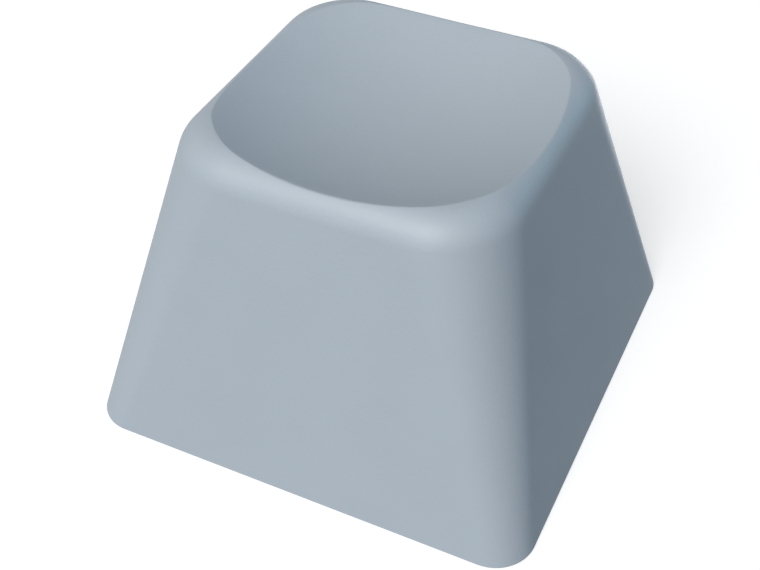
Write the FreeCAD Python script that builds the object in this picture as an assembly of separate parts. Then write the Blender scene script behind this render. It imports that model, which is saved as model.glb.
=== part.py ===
"""A blank one-unit keycap with a tall, tapered skirt and a spherical finger dish.

The cap is one injection moulding. Its skin runs from a rounded square at the rim to a smaller, rounder
one at the top, with a rolled top edge and a dish cut by a sphere. What the mould's core leaves open
inside is one void: the hollow under the skirt, less the post that carries the cross socket and the ribs
that brace it.

Frame: origin at the middle of the skirt's rim, +Z up, the front of the key towards -Y. Millimetres.
"""
import FreeCAD, Part
import math
import os
from FreeCAD import Rotation, Vector

# Skin
SKIRT_WIDTH = 18.4             # across the rim, square, before its edge is broken
TOP_WIDTH = 12.7               # across the top, to where the walls would meet the top plane
HEIGHT = 12.7                  # from the rim to the top plane
SKIRT_CORNER_RADIUS = 1.6      # of the upright corners, at the rim
TOP_CORNER_RADIUS = 3.1        # of the upright corners, at the top plane
TOP_EDGE_RADIUS = 1.5          # of the rolled edge between the walls and the top
RIM_OUTER_BREAK = 0.08         # chamfers on the skirt's rim
RIM_INNER_BREAK = 0.25

# Finger dish
DISH_DEPTH = 1.47              # from the top plane to the dish's lowest point
DISH_RUN_OUT = 0.08            # how far the dish runs past the top plane's last corner, so none is left
CREASE_ROUND = 0.12            # where the dish meets the rolled edge

# Hollow
WALL = 1.4                     # skirt wall, square to its face
ROOF = 1.5                     # from the dish's lowest point to the ceiling
HOLLOW_CORNER_RADIUS = 1.2     # of the hollow's upright corners
CEILING_EDGE_RADIUS = 0.7      # between the hollow's walls and the ceiling

# Cross socket, and the post that it is in
SOCKET_LENGTH = 4.1            # of both bars of the cross
SOCKET_WIDTH_ALONG_X = 1.31    # of the bar that runs along X
SOCKET_WIDTH_ALONG_Y = 1.17    # of the bar that runs along Y
SOCKET_DEPTH = 4.6
SOCKET_LEAD_IN = 0.25          # chamfer round the socket's mouth
POST_WALL = 0.6                # outside the socket's corners
POST_RECESS = 1.0              # from the rim up to the post's end
POST_DRAFT = 0.75              # degrees a side
POST_END_BREAK = 0.15          # chamfer round its free end
POST_ROOT_RADIUS = 0.6         # of the flare into the ceiling

# Ribs from the post to the walls
RIB_THICKNESS = 0.8            # along their free edge
RIB_DRAFT = 1.0                # degrees a side
RIB_DROP = 3.0                 # below the ceiling

# Prints that the ejector pins leave in the ceiling
EJECTOR_PRINT_DIAMETER = 1.6
EJECTOR_PRINT_DEPTH = 0.1

# Worked out from the sizes above
LEAN = (SKIRT_WIDTH - TOP_WIDTH) / 2 / HEIGHT       # inward lean of a wall, per unit of height
CEILING = HEIGHT - DISH_DEPTH - ROOF
SOCKET_WIDEST = max(SOCKET_WIDTH_ALONG_X, SOCKET_WIDTH_ALONG_Y)
POST_END_RADIUS = math.hypot(SOCKET_LENGTH, SOCKET_WIDEST) / 2 + POST_WALL
POST_FLARE_Z = CEILING - POST_ROOT_RADIUS
POST_FLARE_RADIUS = POST_END_RADIUS + math.tan(math.radians(POST_DRAFT)) * (POST_FLARE_Z - POST_RECESS)
POST_ROOT_REACH = POST_FLARE_RADIUS + POST_ROOT_RADIUS
OVERLAP = HEIGHT / 10          # how far a cutting tool runs past the face that it opens

UP = Vector(0, 0, 1)
ORIGIN = Vector(0, 0, 0)
DIAGONAL = math.sqrt(2)


def hollow_width(z):
    """Width of the hollow at a height, one wall inside the skin."""
    return SKIRT_WIDTH - 2 * LEAN * z - 2 * WALL * math.hypot(1, LEAN)


def dish_radius():
    """Radius of the sphere that is DISH_DEPTH deep and just takes in the top plane's corners."""

    def corner_reach(width, radius):
        return DIAGONAL * (width / 2 - radius) + radius

    top = corner_reach(TOP_WIDTH, TOP_CORNER_RADIUS)
    lean = math.atan((corner_reach(SKIRT_WIDTH, SKIRT_CORNER_RADIUS) - top) / HEIGHT)
    rolled = TOP_EDGE_RADIUS * math.tan((math.pi / 2 - lean) / 2)
    reach = top - rolled + DISH_RUN_OUT
    return (reach ** 2 + DISH_DEPTH ** 2) / (2 * DISH_DEPTH)


def rectangle(length, width, z):
    """Edges of a level rectangle about the axis, its length along X."""
    x, y = length / 2, width / 2
    corners = [Vector(x, -y, z), Vector(x, y, z), Vector(-x, y, z), Vector(-x, -y, z)]
    return [Part.LineSegment(a, b).toShape() for a, b in zip(corners, corners[1:] + corners[:1])]


def rounded_square(width, radius, z):
    """Edges of a level square about the axis: for each quarter a straight side and a rounded corner."""
    centre = width / 2 - radius
    arcs = 4        # to a corner: a few short ruled faces stay closer to even than one long one

    def on_corner(quarter, arc):
        angle = arc * math.pi / 2 / arcs
        point = Vector(centre + radius * math.cos(angle), centre + radius * math.sin(angle), z)
        return Rotation(UP, 90 * quarter).multVec(point)

    edges = []
    for quarter in range(4):
        edges.append(Part.LineSegment(on_corner(quarter - 1, arcs), on_corner(quarter, 0)).toShape())
        for arc in range(arcs):
            start, middle, end = (on_corner(quarter, arc + share) for share in (0, 0.5, 1))
            edges.append(Part.Arc(start, middle, end).toShape())
    return edges


def tapered(low, high):
    """A solid between two level outlines: flat faces over straight edges, ruled ones over arcs."""
    walls = []
    for below, above in zip(low, high):
        if below.Curve.TypeId == "Part::GeomLine":
            corners = [vertex.Point for vertex in below.Vertexes + above.Vertexes[::-1]]
            walls.append(Part.Face(Part.makePolygon(corners + corners[:1])))
        else:
            walls.append(Part.makeRuledSurface(below, above))
    ends = [Part.Face(Part.Wire(low)), Part.Face(Part.Wire(high))]
    return Part.Solid(Part.Shell(walls + ends))        # the first wall looks outwards, and the rest follow


def level_edges(shape, z):
    """The edges of a shape that lie in the level plane at a height."""
    close = 1e-6
    return [edge for edge in shape.Edges if max(abs(p.z - z) for p in edge.discretize(3)) < close]


def across_x_and_y(along_x, along_y):
    """Two bars that cross at the axis; the second is turned from X to Y."""
    turned = along_y.copy()
    turned.rotate(ORIGIN, UP, 90)
    return along_x.fuse(turned)


def skin():
    """The outside of the cap as a solid: tapered walls, rolled top edge and spherical dish."""
    body = tapered(rounded_square(SKIRT_WIDTH, SKIRT_CORNER_RADIUS, 0),
                   rounded_square(TOP_WIDTH, TOP_CORNER_RADIUS, HEIGHT))
    body = body.makeFillet(TOP_EDGE_RADIUS, level_edges(body, HEIGHT))
    body = body.makeChamfer(RIM_OUTER_BREAK, level_edges(body, 0))
    radius = dish_radius()
    ball = Part.makeSphere(radius)
    ball.rotate(ORIGIN, Vector(0, 1, 0), -90)        # its seam and poles clear of the dish
    ball.translate(Vector(0, 0, HEIGHT - DISH_DEPTH + radius))
    body = body.cut(ball)
    dish = next(face for face in body.Faces if face.Surface.TypeId == "Part::GeomSphere")
    return body.makeFillet(CREASE_ROUND, dish.Edges)


def hollow():
    """The space under the skirt up to the ceiling, running out past the rim."""
    space = tapered(rounded_square(hollow_width(-OVERLAP), HOLLOW_CORNER_RADIUS, -OVERLAP),
                    rounded_square(hollow_width(CEILING), HOLLOW_CORNER_RADIUS, CEILING))
    return space.makeFillet(CEILING_EDGE_RADIUS, level_edges(space, CEILING))


def ejector_prints():
    """Shallow round prints in the ceiling, midway between the post's root and the walls in each corner."""
    flat = hollow_width(CEILING) / 2 - CEILING_EDGE_RADIUS
    reach = (POST_ROOT_REACH / DIAGONAL + flat) / 2
    prints = []
    for x in (-reach, reach):
        for y in (-reach, reach):
            foot = Vector(x, y, CEILING - EJECTOR_PRINT_DEPTH)
            prints.append(Part.makeCylinder(EJECTOR_PRINT_DIAMETER / 2, 2 * EJECTOR_PRINT_DEPTH, foot))
    return prints


def post():
    """The drafted post under the ceiling, turned about the axis, with a broken end and a flared root."""
    head = CEILING + OVERLAP
    flare = Vector(POST_FLARE_RADIUS, 0, POST_FLARE_Z)
    root = Vector(POST_ROOT_REACH, 0, CEILING)
    bow = POST_ROOT_RADIUS * (1 - 1 / DIAGONAL)
    on_flare = Vector(POST_FLARE_RADIUS + bow, 0, CEILING - bow)
    outline = Part.makePolygon([
        root,
        Vector(POST_ROOT_REACH, 0, head),
        Vector(0, 0, head),
        Vector(0, 0, POST_RECESS),
        Vector(POST_END_RADIUS - POST_END_BREAK, 0, POST_RECESS),
        Vector(POST_END_RADIUS, 0, POST_RECESS + POST_END_BREAK),
        flare,
    ])
    profile = Part.Wire(outline.Edges + [Part.Arc(flare, on_flare, root).toShape()])
    return Part.Face(profile).revolve(ORIGIN, UP, 360)


def ribs():
    """Two drafted webs that cross at the post and run from wall to wall under the ceiling."""
    low, high = CEILING - RIB_DROP, CEILING + OVERLAP
    root = RIB_THICKNESS + 2 * (high - low) * math.tan(math.radians(RIB_DRAFT))
    web = tapered(rectangle(SKIRT_WIDTH, RIB_THICKNESS, low), rectangle(SKIRT_WIDTH, root, high))
    return across_x_and_y(web, web)


def socket_bar(width):
    """One bar of the cross socket, with its lead-in at the post's end."""
    mouth, top = POST_RECESS - OVERLAP, POST_RECESS + SOCKET_DEPTH
    slot = tapered(rectangle(SOCKET_LENGTH, width, mouth), rectangle(SOCKET_LENGTH, width, top))
    grown = 2 * SOCKET_LEAD_IN
    lead_in = tapered(rectangle(SOCKET_LENGTH + grown, width + grown, POST_RECESS),
                      rectangle(SOCKET_LENGTH, width, POST_RECESS + SOCKET_LEAD_IN))
    return slot.fuse(lead_in)


def socket():
    """The cross that the switch's plunger presses into."""
    return across_x_and_y(socket_bar(SOCKET_WIDTH_ALONG_X), socket_bar(SOCKET_WIDTH_ALONG_Y))


def keycap():
    """The whole moulding: the skin, less what the core leaves open, with its inner rim broken."""
    space = hollow().multiFuse(ejector_prints())
    cap = skin().cut(space.cut(post()).cut(ribs())).cut(socket())
    rim_middle = (SKIRT_WIDTH + hollow_width(0)) / 4
    inner_rim = [edge for edge in level_edges(cap, 0)
                 if max(max(abs(p.x), abs(p.y)) for p in edge.discretize(3)) < rim_middle]
    return cap.makeChamfer(RIM_INNER_BREAK, inner_rim)


def main():
    os.makedirs("parts", exist_ok=True)
    cap = keycap().Solids[0]
    cap.exportStep("parts/keycap.step")
    print("keycap: volume", round(cap.Volume, 2), "mm3, faces", len(cap.Faces), "valid", cap.isValid())


main()
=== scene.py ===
# %% [markdown]
# # A blank keycap
# This is the cap of one key of a keyboard: a single moulding in blue-grey plastic, tall and tapered, with a
# rolled top edge and a round dish for the finger. The engineering model comes in first as a fixed frame.
# Its mesh has the right sizes but is cut into uneven triangles, and where they meet on the upright corners
# the light breaks into bands. So the moulding is modelled again here as one even mesh of quads, to the same
# sizes, and it then gets the finish of grained plastic, a camera, a floor and lamps.

# %% Load the frame
import math

import bmesh
import bpy
import numpy as np
from mathutils import Matrix, Vector


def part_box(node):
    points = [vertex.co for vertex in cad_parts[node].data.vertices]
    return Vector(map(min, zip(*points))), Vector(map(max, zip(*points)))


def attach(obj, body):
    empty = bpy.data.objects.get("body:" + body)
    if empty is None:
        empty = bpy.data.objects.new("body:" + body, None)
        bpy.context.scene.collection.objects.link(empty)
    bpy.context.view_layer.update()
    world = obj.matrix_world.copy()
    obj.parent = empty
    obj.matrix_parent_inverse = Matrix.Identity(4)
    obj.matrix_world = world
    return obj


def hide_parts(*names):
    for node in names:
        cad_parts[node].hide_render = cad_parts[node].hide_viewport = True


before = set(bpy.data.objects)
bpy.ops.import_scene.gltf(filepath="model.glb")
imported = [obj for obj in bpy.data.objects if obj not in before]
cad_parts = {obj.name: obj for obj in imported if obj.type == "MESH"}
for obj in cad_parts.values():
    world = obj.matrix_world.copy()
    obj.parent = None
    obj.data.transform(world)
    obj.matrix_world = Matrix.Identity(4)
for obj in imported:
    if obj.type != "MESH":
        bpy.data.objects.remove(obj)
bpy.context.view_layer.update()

MM = 0.001
node_low, node_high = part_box("keycap")
print("frame:", [round(side / MM, 2) for side in node_high - node_low], "mm")

# %% [markdown]
# ## Columns
# Every level cut through this cap is a square with rounded corners, inside and outside. So one set of
# columns can serve for the whole shell: each column stands on a straight side or in a corner, and looks
# outwards in one direction. Only one quarter is worked out, from diagonal to diagonal, and the other three
# are the same points turned. Complex numbers make that turn short: multiplying by 1j turns a plan by 90
# degrees. Lengths are in millimetres until the moulding is done.

# %% Columns of one quarter
CORNER_COLUMNS = 10        # in half a corner
SIDE_COLUMNS = 16          # along a straight side
EIGHTH_TURN = math.pi / 4


def steps(start, stop, count):
    """Even steps that stop short of the end, where the next run begins."""
    return np.linspace(start, stop, count, endpoint=False)


angle = np.concatenate([
    steps(-EIGHTH_TURN, 0, CORNER_COLUMNS),
    np.zeros(SIDE_COLUMNS),
    steps(0, EIGHTH_TURN, CORNER_COLUMNS),
])
share = np.concatenate([        # where each column stands along its side, from -1 to 1
    -np.ones(CORNER_COLUMNS),
    steps(-1, 1, SIDE_COLUMNS),
    np.ones(CORNER_COLUMNS),
])
outward = np.exp(1j * angle)        # where each column looks, as a plan
columns = len(angle)
around = 4 * columns


def loop(plan, height):
    """A closed loop of points: a quarter's plan turned to all four sides, at its heights."""
    quarters = np.concatenate([plan * 1j ** quarter for quarter in range(4)])
    heights = np.tile(np.broadcast_to(height, columns), 4)
    return np.column_stack([quarters.real, quarters.imag, heights])


print("columns:", around, "round the cap")

# %% [markdown]
# ## Leaning walls and rolled edges
# The skirt leans in on all sides and its corners grow rounder towards the top. A straight line runs up
# each column, so a wall is given by its half width at the rim, its corner radius there and how fast that
# radius grows. A rolled edge is what a ball leaves that rolls round inside the wall, just under a level
# top. A bevel modifier could make such an edge, but it would guess at the corners, where the radius
# changes. The ball's path can be worked out exactly, because along one column the wall always looks the
# same way.

# %% Leaning walls and rolled edges
SKIRT_WIDTH = 18.4
TOP_WIDTH = 12.7
HEIGHT = 12.7
SKIRT_CORNER_RADIUS = 1.6
TOP_CORNER_RADIUS = 3.1
lean = (SKIRT_WIDTH - TOP_WIDTH) / 2 / HEIGHT
slant = math.hypot(1, lean)        # length along a wall for each unit of height

skin = {
    "half": SKIRT_WIDTH / 2,
    "radius": SKIRT_CORNER_RADIUS,
    "growth": (TOP_CORNER_RADIUS - SKIRT_CORNER_RADIUS) / HEIGHT,
}


def wall_plan(wall, height):
    """Plan of a leaning wall at a height, which may differ from column to column."""
    radius = wall["radius"] + wall["growth"] * height
    straight = wall["half"] - lean * height - radius
    return straight * (1 + 1j * share) + radius * outward


def between(start, stop, count):
    """Values in even steps after the start and up to the stop, for numbers or for columns."""
    return [start + (stop - start) * step / count for step in range(1, count + 1)]


def wall_loops(wall, foot, top, count):
    """Loops up or down a wall, after its foot and up to its top."""
    return [loop(wall_plan(wall, height), height) for height in between(foot, top, count)]


def rolling_ball(wall, top, ball):
    """How far each column looks up, where the ball touches it, and the plan of the ball's path."""
    facing = outward.real + share * outward.imag
    tilt = np.arctan((lean + wall["growth"]) * facing - wall["growth"])
    touch = top - ball + ball * np.sin(tilt)
    path = wall_plan(wall, touch) - ball * np.cos(tilt) * outward
    return tilt, touch, path


def roll_loops(path, height, ball, start, stop, count):
    """Loops on a ball that rolls along a path at a height, after one angle and up to another."""
    return [loop(path + ball * np.cos(turned) * outward, height + ball * np.sin(turned))
            for turned in between(start, stop, count)]


print("walls lean", round(math.degrees(math.atan(lean)), 1), "degrees")

# %% [markdown]
# ## Inside of the shell
# The mould's core leaves a hollow one wall inside the skin. Its loops start on the ceiling, go round the
# ceiling's rounded edge and down the walls to the rim. The rim is a flat ring with a small chamfer on both
# edges: the cap stands on it here, and on a keyboard it hangs just clear of the plate. A Solidify modifier
# could thicken a skin, but it would copy the dish and the rolled edge to the inside, and the core has
# neither.

# %% Loops from the ceiling to the rim
WALL = 1.4
ROOF = 1.5
DISH_DEPTH = 1.47
HOLLOW_CORNER_RADIUS = 1.2
CEILING_EDGE_RADIUS = 0.7
RIM_OUTER_BREAK = 0.08
RIM_INNER_BREAK = 0.25
CEILING_EDGE_LOOPS = 6
INNER_WALL_LOOPS = 12
ceiling = HEIGHT - DISH_DEPTH - ROOF
inner_break = RIM_INNER_BREAK / slant        # height of a chamfer on the leaning wall
outer_break = RIM_OUTER_BREAK / slant

hollow = {"half": SKIRT_WIDTH / 2 - WALL * slant, "radius": HOLLOW_CORNER_RADIUS, "growth": 0}
tilt, touch, path = rolling_ball(hollow, ceiling, CEILING_EDGE_RADIUS)
loops = [loop(path, ceiling)]
loops += roll_loops(path, ceiling - CEILING_EDGE_RADIUS, CEILING_EDGE_RADIUS,
                    math.pi / 2, tilt, CEILING_EDGE_LOOPS)
loops += wall_loops(hollow, touch, inner_break, INNER_WALL_LOOPS)
loops.append(loop(wall_plan(hollow, 0) + RIM_INNER_BREAK * outward, 0))
loops.append(loop(wall_plan(skin, 0) - RIM_OUTER_BREAK * outward, 0))
loops.append(loop(wall_plan(skin, outer_break), outer_break))
print("inside:", len(loops), "loops, ceiling at", round(ceiling, 2), "mm")

# %% [markdown]
# ## Rolled top edge and dish
# The top edge rolls over until it meets the finger dish, which is part of a sphere. The sphere is just
# wide enough to take in the last corners of the top, so no flat is left there. On the real cap the two
# meet in a crisp line, but nothing moulded is perfectly sharp, so a tiny ball rounds that crease as well:
# its centre lies at the ball's distance under both surfaces, which gives one angle for each column. A
# Boolean cut with a sphere would be shorter, but it leaves a ragged row of faces along the crease, just
# where the light shows it most.

# %% Where the dish meets the rolled edge
TOP_EDGE_RADIUS = 1.5
CREASE_ROUND = 0.12
DISH_RUN_OUT = 0.08        # how far the dish runs past the top plane's last corner

tilt, touch, path = rolling_ball(skin, HEIGHT, TOP_EDGE_RADIUS)
ball_height = HEIGHT - TOP_EDGE_RADIUS
dish_reach = np.abs(path).max() + DISH_RUN_OUT
dish_radius = (dish_reach ** 2 + DISH_DEPTH ** 2) / (2 * DISH_DEPTH)
dish_centre = HEIGHT - DISH_DEPTH + dish_radius

arm = TOP_EDGE_RADIUS - CREASE_ROUND
reach = dish_radius + CREASE_ROUND
across, drop = (path * outward.conj()).real, ball_height - dish_centre
need = (reach ** 2 - np.abs(path) ** 2 - drop ** 2 - arm ** 2) / (2 * arm)
crease = np.arctan2(drop, across) + np.arccos(need / np.hypot(across, drop))
print("dish: sphere of", round(dish_radius, 2), "mm, crease at", np.round(np.degrees(crease[[0, -1]]), 1))

# %% Loops from the rim to the dish
OUTER_WALL_LOOPS = 14
ROLL_LOOPS = 12
CREASE_LOOPS = 5

loops += wall_loops(skin, outer_break, touch, OUTER_WALL_LOOPS)
loops += roll_loops(path, ball_height, TOP_EDGE_RADIUS, tilt, crease, ROLL_LOOPS)

bead = path + arm * np.cos(crease) * outward        # plan of the tiny ball's path
bead_height = ball_height + arm * np.sin(crease)
first = np.array([np.cos(crease) * outward, np.sin(crease)])
last = np.array([-bead / reach, (dish_centre - bead_height) / reach])
sweep = np.arccos((first * last.conj()).real.sum(axis=0))
for part in between(0, 1, CREASE_LOOPS):
    spoke = (np.sin((1 - part) * sweep) * first + np.sin(part * sweep) * last) / np.sin(sweep)
    dish_edge = bead + CREASE_ROUND * spoke[0]
    loops.append(loop(dish_edge, bead_height + CREASE_ROUND * spoke[1].real))
print("up to the dish:", len(loops), "loops")

# %% [markdown]
# ## Filling the dish
# Loops that shrink to a point would pinch the mesh in the middle of the dish, just where it should be
# smoothest. So the loops change step by step from the dish's rounded outline to a square, and an even grid
# fills the square. Each point's height comes from the sphere, so how the quads are spread doesn't change
# the form.

# %% Loops over the dish
GRID_HALF = 3.0        # half the side of the square in the middle of the dish
DISH_LOOPS = 10


def dish_height(plan):
    """Height of the dish's sphere at the points of a plan."""
    return dish_centre - np.sqrt(dish_radius ** 2 - np.abs(plan) ** 2)


square = GRID_HALF + 1j * steps(-GRID_HALF, GRID_HALF, columns)
loops += [loop(plan, dish_height(plan)) for plan in between(dish_edge, square, DISH_LOOPS)]
print("with the dish:", len(loops), "loops")

# %% The shell as one mesh


def loft(loops):
    """Points and quads of a surface through a stack of loops."""
    size = len(loops[0])
    faces = []
    for row in range(len(loops) - 1):
        low, high = row * size, (row + 1) * size
        for here in range(size):
            after = (here + 1) % size
            faces.append((low + here, low + after, high + after, high + here))
    return np.concatenate(loops), faces


def grid_faces(rim, middle):
    """Quads that fill a square between its rim, a loop of point numbers, and the points in its middle."""
    numbers = np.empty((columns + 1, columns + 1), int)
    right, back, left, front = rim.reshape(4, columns)
    numbers[columns, :columns] = right
    numbers[:0:-1, columns] = back
    numbers[0, :0:-1] = left
    numbers[:columns, 0] = front
    numbers[1:columns, 1:columns] = middle
    corners = numbers[:-1, :-1], numbers[1:, :-1], numbers[1:, 1:], numbers[:-1, 1:]
    return [tuple(quad) for quad in np.stack(corners, axis=-1).reshape(-1, 4).tolist()]


def make_piece(name, points, faces):
    """A new object in the scene with a mesh of these points and faces."""
    mesh = bpy.data.meshes.new(name)
    mesh.from_pydata(points.tolist(), [], faces)
    piece = bpy.data.objects.new(name, mesh)
    bpy.context.scene.collection.objects.link(piece)
    return piece


points, faces = loft(loops)
inner = np.linspace(-GRID_HALF, GRID_HALF, columns + 1)[1:-1]
x, y = np.meshgrid(inner, inner, indexing="ij")
middle = len(points) + np.arange(x.size).reshape(x.shape)
faces += grid_faces(np.arange(len(points) - around, len(points)), middle)
faces.append(tuple(range(around))[::-1])        # the ceiling
grid_points = np.column_stack([x.ravel(), y.ravel(), dish_height(x + 1j * y).ravel()])
cap = make_piece("cap_moulding", np.concatenate([points, grid_points]), faces)
print("shell:", len(faces), "faces")

# %% [markdown]
# ## Post
# Under the ceiling stands a round post, which carries the socket for the plunger of the switch. It tapers
# slightly so that it comes out of the mould, its free end has a small chamfer, and its root flares into the
# ceiling. A Screw modifier could spin its outline, but circles stacked as loops are enough, and the loft
# above already joins loops. The post runs on into the roof, as every solid here runs on into the plastic,
# so that no two faces lie on each other.

# %% Post
SOCKET_LENGTH = 4.1
SOCKET_WIDTH_ALONG_X = 1.31
SOCKET_WIDTH_ALONG_Y = 1.17
POST_WALL = 0.6              # outside the socket's corners
POST_RECESS = 1.0            # from the rim up to the post's end
POST_DRAFT = math.radians(0.75)
POST_END_BREAK = 0.15
POST_ROOT_RADIUS = 0.6
POST_ROOT_LOOPS = 8
POST_SIDES = 96
HAIR = 0.002                 # lifts the flare's end off the level of the ceiling
in_roof = ceiling + ROOF / 2


def solid(name, loops):
    """A closed piece through a stack of loops, with a flat face at both ends."""
    points, faces = loft(loops)
    size = len(loops[0])
    faces.append(tuple(range(size))[::-1])
    faces.append(tuple(range(len(points) - size, len(points))))
    return make_piece(name, points, faces)


def ring(radius, height, centre=0j, sides=POST_SIDES):
    """A level circle of points."""
    plan = centre + radius * np.exp(2j * math.pi * np.arange(sides) / sides)
    return np.column_stack([plan.real, plan.imag, np.full(sides, height)])


end_radius = math.hypot(SOCKET_LENGTH, max(SOCKET_WIDTH_ALONG_X, SOCKET_WIDTH_ALONG_Y)) / 2 + POST_WALL
flare_foot = ceiling - POST_ROOT_RADIUS
flare_radius = end_radius + math.tan(POST_DRAFT) * (flare_foot - POST_RECESS)
root_radius = flare_radius + POST_ROOT_RADIUS
post_loops = [
    ring(end_radius - POST_END_BREAK, POST_RECESS),
    ring(end_radius, POST_RECESS + POST_END_BREAK),
    ring(flare_radius, flare_foot),
]
for turned in between(0, math.pi / 2, POST_ROOT_LOOPS):
    out = POST_ROOT_RADIUS * (1 - math.cos(turned))
    post_loops.append(ring(flare_radius + out, flare_foot + HAIR + POST_ROOT_RADIUS * math.sin(turned)))
post = solid("post", post_loops + [ring(root_radius, in_roof)])
print("post:", round(2 * end_radius, 2), "mm across its end")

# %% [markdown]
# ## Ribs
# Four ribs tie the post to the walls, close under the ceiling. Four boxes would do, but two webs that cross
# on the axis are one solid: a cross along the free edges, and a slightly thicker one in the roof, because
# the ribs are tapered like the post. The ends of the cross lie in the middle of the walls.

# %% Ribs
RIB_THICKNESS = 0.8
RIB_DRAFT = math.radians(1.0)
RIB_DROP = 3.0               # below the ceiling


def cross(length, along_x, along_y, height):
    """A level cross of two bars of the same length, each with its own width."""
    end, thin_x, thin_y = length / 2, along_x / 2, along_y / 2
    xy = [(end, -thin_x), (end, thin_x), (thin_y, thin_x), (thin_y, end), (-thin_y, end), (-thin_y, thin_x)]
    xy += [(-a, -b) for a, b in xy]
    return np.array([(a, b, height) for a, b in xy])


def rib_level(height):
    """The ribs' cross at a height: its ends lie in the middle of the walls."""
    span = SKIRT_WIDTH - 2 * lean * height - WALL * slant
    thickness = RIB_THICKNESS + 2 * math.tan(RIB_DRAFT) * (height - ceiling + RIB_DROP)
    return cross(span, thickness, thickness, height)


ribs = solid("ribs", [rib_level(ceiling - RIB_DROP), rib_level(in_roof)])
print("ribs: free edges at", round(ceiling - RIB_DROP, 2), "mm")

# %% [markdown]
# ## Cross socket
# The socket is a deep cross-shaped hole in the post, and it grips the plunger of the switch. Its two bars
# are equally long, but one is a little wider. A short slope round the mouth leads the plunger in. The hole
# is made as a solid of that form, to be cut out as a pocket is milled.

# %% Cross socket
SOCKET_DEPTH = 4.6
SOCKET_LEAD_IN = 0.25

bars = SOCKET_LENGTH, SOCKET_WIDTH_ALONG_X, SOCKET_WIDTH_ALONG_Y
mouth = [size + 2 * SOCKET_LEAD_IN for size in bars]
socket = solid("socket", [
    cross(*mouth, POST_RECESS / 2),
    cross(*mouth, POST_RECESS),
    cross(*bars, POST_RECESS + SOCKET_LEAD_IN),
    cross(*bars, POST_RECESS + SOCKET_DEPTH),
])
print("socket: mouth", np.round(mouth, 2), "mm")

# %% [markdown]
# ## Ejector prints
# The pins that push the cap out of the mould leave four shallow round prints in the ceiling, one in each
# corner. A texture could show them, but they are real dents with an edge that catches the light, so four
# short discs are made to be cut out.

# %% Ejector prints
PRINT_RADIUS = 0.8
PRINT_DEPTH = 0.1
PRINT_SIDES = 48

ceiling_half = hollow["half"] - lean * ceiling - CEILING_EDGE_RADIUS
print_reach = (root_radius / math.sqrt(2) + ceiling_half) / 2        # midway from the post to the walls
prints = []
for quarter in range(4):
    centre = print_reach * (1 + 1j) * 1j ** quarter
    levels = ceiling - PRINT_DEPTH, ceiling + PRINT_DEPTH
    discs = [ring(PRINT_RADIUS, height, centre, PRINT_SIDES) for height in levels]
    prints.append(solid("ejector_print", discs))
print("ejector prints:", round(print_reach, 2), "mm off the axis both ways")

# %% [markdown]
# ## Joining and cutting
# Boolean modifiers join the ribs and the post to the shell, and then cut out the socket and the prints.
# They could stay on the object, but each would keep its tool in the scene, so every result is taken as the
# new mesh at once. The exact solver is slower than the fast one, but it holds where faces almost touch. At
# the end the mesh's volume and its open edges are printed, beside the volume of the engineering model.

# %% Join and cut


def carve(body, tool, operation):
    """Join a solid to the body, or cut it out, and take the result as the body's mesh."""
    change = body.modifiers.new(tool.name, "BOOLEAN")
    change.operation = operation
    change.solver = "EXACT"
    change.object = tool
    graph = bpy.context.evaluated_depsgraph_get()
    body.data = bpy.data.meshes.new_from_object(body.evaluated_get(graph))
    body.modifiers.clear()
    bpy.data.objects.remove(tool)


def describe(mesh):
    """Volume in cubic millimetres, and how many edges don't join exactly two faces."""
    form = bmesh.new()
    form.from_mesh(mesh)
    loose = sum(not edge.is_manifold for edge in form.edges)
    volume = form.calc_volume(signed=True) / MM ** 3
    form.free()
    return round(volume, 1), loose


carve(cap, ribs, "UNION")
carve(cap, post, "UNION")
for tool in [socket, *prints]:
    carve(cap, tool, "DIFFERENCE")
cap.data.name = "cap_moulding"
cap.data.transform(Matrix.Scale(MM, 4))
print("moulding: volume and open edges", describe(cap.data))
print("frame's solid: volume", describe(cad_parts["keycap"].data)[0])

# %% [markdown]
# ## Shading the moulding
# Smooth shading hides the quads on curved faces, and edges that turn by more than a set angle stay sharp.
# A flat face beside a rounded one would still borrow some of the round's shading. The Weighted Normal
# modifier lets the larger face decide, so the flats stay flat.

# %% Shading the moulding
SHARP_ANGLE = math.radians(28)

cap.data.polygons.foreach_set("use_smooth", [True] * len(cap.data.polygons))
cap.data.set_sharp_from_angle(angle=SHARP_ANGLE)
weighted = cap.modifiers.new("flats stay flat", "WEIGHTED_NORMAL")
weighted.keep_sharp = True
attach(cap, "root")
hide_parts("keycap")
print("sharp edges:", sum(edge.use_edge_sharp for edge in cap.data.edges))

# %% [markdown]
# ## Writing shader maths
# Node trees are easier to read as sums. This small class wraps a socket, and Python's operators on it add
# the Math nodes. Any other node comes from its one method, which takes the node's type, its settings, the
# values or links of its inputs, and which output to go on with.

# %% A socket with operators


class Wire:
    """An output socket of a node tree, or with no socket the tree itself."""

    def __init__(self, tree, socket=None):
        self.tree, self.socket = tree, socket

    def node(self, kind, settings, inputs, output=0):
        """A new node in the tree, and a wire from one of its outputs."""
        made = self.tree.nodes.new(kind)
        for name, value in settings.items():
            setattr(made, name, value)
        for name, value in inputs.items():
            if isinstance(value, Wire):
                self.tree.links.new(value.socket, made.inputs[name])
            else:
                made.inputs[name].default_value = value
        return Wire(self.tree, made.outputs[output] if made.outputs else None)

    def maths(self, operation, first, second=0.0):
        return self.node("ShaderNodeMath", {"operation": operation}, {0: first, 1: second})

    def __add__(self, other):
        return self.maths("ADD", self, other)

    def __sub__(self, other):
        return self.maths("SUBTRACT", self, other)

    def __rsub__(self, other):
        return self.maths("SUBTRACT", other, self)

    def __mul__(self, other):
        return self.maths("MULTIPLY", self, other)

    def __lt__(self, other):
        return self.maths("LESS_THAN", self, other)

    def __abs__(self):
        return self.maths("ABSOLUTE", self)

    __radd__, __rmul__ = __add__, __mul__


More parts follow.
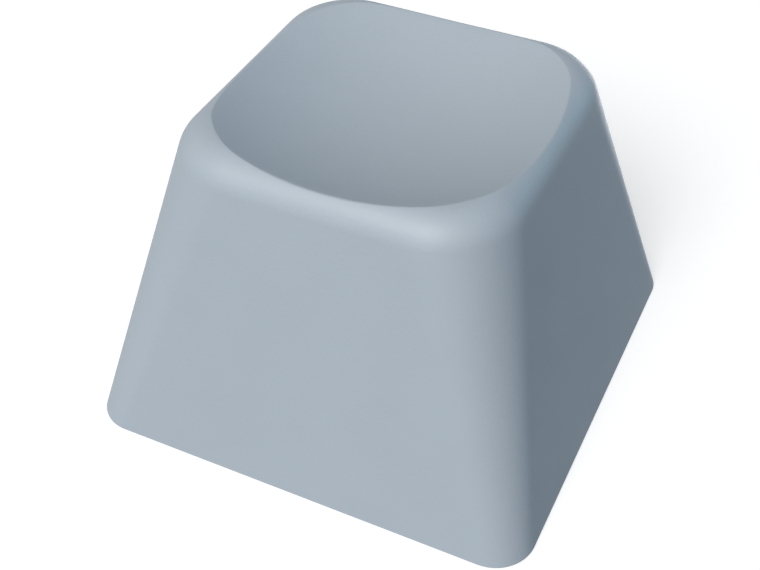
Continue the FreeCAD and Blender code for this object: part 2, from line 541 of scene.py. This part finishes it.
# %% [markdown]
# ## Inside and outside
# The faces of the mould that shape the outside are spark-eroded, which leaves a grain, but its core is only
# machined, so the inside of the cap is smoother and shinier. Two materials could do that, but the rim would
# then need a border between them. One mask tells the sides apart by place instead: 1 for what lies inside
# the middle of the walls and corners and under the middle of the roof, 0 for the rest.

# %% Inside and outside
plastic = bpy.data.materials.new("cap_plastic")
plastic.use_nodes = True
plastic.node_tree.nodes.clear()
sheet = Wire(plastic.node_tree)
place = sheet.node("ShaderNodeTexCoord", {}, {}, "Object")

apart = [sheet.node("ShaderNodeSeparateXYZ", {}, {"Vector": place}, axis) for axis in "XYZ"]
off_x, off_y, rise = abs(apart[0]), abs(apart[1]), apart[2]
mid_wall = SKIRT_WIDTH / 2 - WALL * slant / 2
cut_corner = (2 - math.sqrt(2)) * (TOP_CORNER_RADIUS + HOLLOW_CORNER_RADIUS) / 2
mid_corner = 2 * mid_wall - cut_corner
inside_walls = sheet.maths("MAXIMUM", off_x, off_y) + lean * rise < mid_wall * MM
inside_corners = off_x + off_y + 2 * lean * rise < mid_corner * MM
under_roof = rise < in_roof * MM
core_side = inside_walls * inside_corners * under_roof
print("inside: up to", round(mid_wall, 2), "mm off the axis at the rim")

# %% [markdown]
# ## Grained plastic
# The cap is dyed through, so colour alone says little: what makes it look like moulded plastic is the fine
# grain that the mould leaves on it. An image texture would need the cap unwrapped, and noise in space has
# no seams. Fine noise raises the surface by up to about a hundredth of a millimetre, which breaks up
# reflections, and slower noise lets the gloss and the shade drift a little.

# %% Grained plastic
GRAIN_CELL, GRAIN_DETAIL = 0.11, 2
GRAIN_HEIGHT = 0.008
DRIFT_CELL, DRIFT_DETAIL = 2.5, 1
PALE, DEEP = (0.431, 0.494, 0.554, 1), (0.395, 0.454, 0.512, 1)
ROUGHNESS = 0.52
CORE_POLISH = 0.2            # how much less rough the inside is
CORE_SMOOTHING = 0.8         # share of the grain that the inside lacks


def noise(cell, detail):
    """Noise whose patches are about one cell wide, in millimetres, from 0 to 1."""
    inputs = {"Vector": place, "Scale": 1 / (cell * MM), "Detail": detail, "Roughness": 0.5}
    return sheet.node("ShaderNodeTexNoise", {}, inputs, "Fac")


grain = noise(GRAIN_CELL, GRAIN_DETAIL)
drift = noise(DRIFT_CELL, DRIFT_DETAIL)
shade = 0.6 * drift + 0.4 * grain
colour = sheet.node("ShaderNodeMix", {"data_type": "RGBA"}, {0: shade, 6: DEEP, 7: PALE}, 2)
roughness = ROUGHNESS + 0.08 * (drift - 0.5) + 0.06 * (grain - 0.5) - CORE_POLISH * core_side
bumps = grain * (1 - CORE_SMOOTHING * core_side)
raised = sheet.node("ShaderNodeBump", {}, {"Strength": 1.0, "Distance": GRAIN_HEIGHT * MM, "Height": bumps})
surface = sheet.node("ShaderNodeBsdfPrincipled", {}, {
    "Base Color": colour,
    "Roughness": roughness,
    "Normal": raised,
    "IOR": 1.5,
    "Specular IOR Level": 0.5,
})
sheet.node("ShaderNodeOutputMaterial", {}, {"Surface": surface})
cap.data.materials.clear()
cap.data.materials.append(plastic)
print("plastic:", len(plastic.node_tree.nodes), "nodes")

# %% [markdown]
# ## Camera
# The view is fixed by the outline of the cap in the photograph: 25 degrees round from the front, 40 degrees
# up and quite near, so that the skirt spreads towards the viewer. The picture was cropped off its centre,
# which is what a lens shift does. Turning the camera instead would frame it alike, but upright edges would
# then lean differently.

# %% Camera
VIEW_ROUND = math.radians(25)
VIEW_UP = math.radians(40)
VIEW_DISTANCE = 51.156
VIEW_AIM = Vector((0, 0, HEIGHT / 2))
IMAGE_WIDTH, IMAGE_HEIGHT = 760, 570
FOCAL_PIXELS = 1286.665
MIDDLE_PIXEL = 394.171, 225.782        # where the lens's axis meets the picture
SENSOR_WIDTH = 36
NEAREST = 1.0                          # what is nearer to the lens isn't shown


def direction(turn, up):
    """Towards a place so far round from the front, to the right, and so far up."""
    return Vector((math.sin(turn) * math.cos(up), -math.cos(turn) * math.cos(up), math.sin(up)))


lens = bpy.data.cameras.new("camera")
lens.sensor_width = SENSOR_WIDTH
lens.lens = FOCAL_PIXELS / IMAGE_WIDTH * SENSOR_WIDTH
lens.shift_x = (IMAGE_WIDTH / 2 - MIDDLE_PIXEL[0]) / IMAGE_WIDTH
lens.shift_y = (MIDDLE_PIXEL[1] - IMAGE_HEIGHT / 2) / IMAGE_WIDTH
lens.clip_start = NEAREST * MM
camera = bpy.data.objects.new("camera", lens)
bpy.context.scene.collection.objects.link(camera)

sight = direction(VIEW_ROUND, VIEW_UP)
camera.location = (VIEW_AIM + VIEW_DISTANCE * sight) * MM
camera.rotation_euler = sight.to_track_quat("Z", "Y").to_euler()
bpy.context.scene.camera = camera
print("camera: lens", round(lens.lens, 2), "mm, shift", round(lens.shift_x, 4), round(lens.shift_y, 4))

# %% [markdown]
# ## World
# The photograph has a white ground without an edge. A plain white world would give that, but it would also
# light the cap alike from all sides, and its faces would hardly differ. So the world is white only where
# the eye or a reflection meets it. As a lamp it gives a faint cool light from below, as a pale table throws
# some light back up.

# %% World
bpy.context.scene.view_settings.view_transform = "Standard"
WHITE, BLACK = (1, 1, 1, 1), (0, 0, 0, 1)
FROM_BELOW = (0.06, 0.09, 0.125, 1)

world = bpy.data.worlds.new("studio")
world.use_nodes = True
world.node_tree.nodes.clear()
sky = Wire(world.node_tree)


def met_by(wire, *kinds):
    """1 where a ray of one of these kinds arrives, and 0 for all other rays."""
    rays = [wire.node("ShaderNodeLightPath", {}, {}, kind) for kind in kinds]
    total = rays[0]
    for other in rays[1:]:
        total = wire.maths("MAXIMUM", total, other)
    return total


seen = met_by(sky, "Is Camera Ray", "Is Glossy Ray", "Is Transmission Ray")
towards = sky.node("ShaderNodeTexCoord", {}, {}, "Generated")
below = sky.node("ShaderNodeSeparateXYZ", {}, {"Vector": towards}, "Z") < 0
faint = sky.node("ShaderNodeMix", {"data_type": "RGBA"}, {0: below, 6: BLACK, 7: FROM_BELOW}, 2)
ground = sky.node("ShaderNodeMix", {"data_type": "RGBA"}, {0: seen, 6: faint, 7: WHITE}, 2)
shine = sky.node("ShaderNodeBackground", {}, {"Color": ground, "Strength": 1.0})
sky.node("ShaderNodeOutputWorld", {}, {"Surface": shine})
bpy.context.scene.world = world
print("world:", len(world.node_tree.nodes), "nodes")

# %% [markdown]
# ## Floor
# The floor is white paper that keeps the cap's shadow. Paper that is lit to white would need more light
# than the cap can take, so it shines a little by itself and stays white beside the shadow. Only the eye
# sees it, and only from above, so that reflections find the white world and the underside can be looked at
# too.

# %% Floor
FLOOR_SIDE = 4000
FLOOR_DROP = 0.01            # a hair under the rim
FLOOR_GREY = (0.5, 0.5, 0.5, 1)
FLOOR_OWN_LIGHT = 0.65

corners = np.array([(-1, -1), (1, -1), (1, 1), (-1, 1)]) * FLOOR_SIDE / 2
floor = make_piece("floor", np.column_stack([corners, np.full(4, -FLOOR_DROP)]) * MM, [(0, 1, 2, 3)])
paper = bpy.data.materials.new("floor_paper")
paper.use_nodes = True
paper.node_tree.nodes.clear()
board = Wire(paper.node_tree)
matt = board.node("ShaderNodeBsdfDiffuse", {}, {"Color": FLOOR_GREY})
glow = board.node("ShaderNodeEmission", {}, {"Color": WHITE, "Strength": FLOOR_OWN_LIGHT})
lit = board.node("ShaderNodeAddShader", {}, {0: matt, 1: glow})
clear = board.node("ShaderNodeBsdfTransparent", {}, {})
from_above = 1 - board.node("ShaderNodeNewGeometry", {}, {}, "Backfacing")
shown = met_by(board, "Is Camera Ray") * from_above
face = board.node("ShaderNodeMixShader", {}, {0: shown, 1: clear, 2: lit})
board.node("ShaderNodeOutputMaterial", {}, {"Surface": face})
floor.data.materials.append(paper)
print("floor:", FLOOR_SIDE, "mm square")

# %% [markdown]
# ## Lamps
# The front face is the lightest, the right face is a step darker and bluer, and the rolled edge carries a
# bright band, so the light comes from near the front at half height. One wide softbox does that. A weak
# blue lamp behind on the right keeps the right face and the dish cool, and a lamp that shines up from
# behind stands for what the pale floor throws back, so that the far side and the hollow can be seen. Area
# lamps near the cap would do too, but their light falls off over even so small a thing. A sun lamp's light
# doesn't, and its angle says how wide the softbox looks, which sets how soft the shadow and the bright band
# are.

# %% Lamps


def lamp(name, azimuth, elevation, strength, colour, spread):
    """A far softbox that looks so many degrees wide: azimuth is round from the front, to the right."""
    light = bpy.data.lights.new(name, "SUN")
    light.energy = strength
    light.color = colour
    light.angle = math.radians(spread)
    piece = bpy.data.objects.new(name, light)
    away = direction(math.radians(azimuth), math.radians(elevation))
    piece.rotation_euler = away.to_track_quat("Z", "Y").to_euler()
    bpy.context.scene.collection.objects.link(piece)
    return piece


lamps = [
    lamp("key", azimuth=-5.5, elevation=44.5, strength=3.22, colour=(1, 1, 1), spread=32),
    lamp("side", azimuth=140, elevation=14, strength=0.42, colour=(0.1, 0.62, 1), spread=25),
    lamp("back", azimuth=180, elevation=-20, strength=0.7, colour=(0.96, 0.98, 1), spread=25),
]
print("lamps:", [(piece.name, round(piece.data.energy, 2)) for piece in lamps])
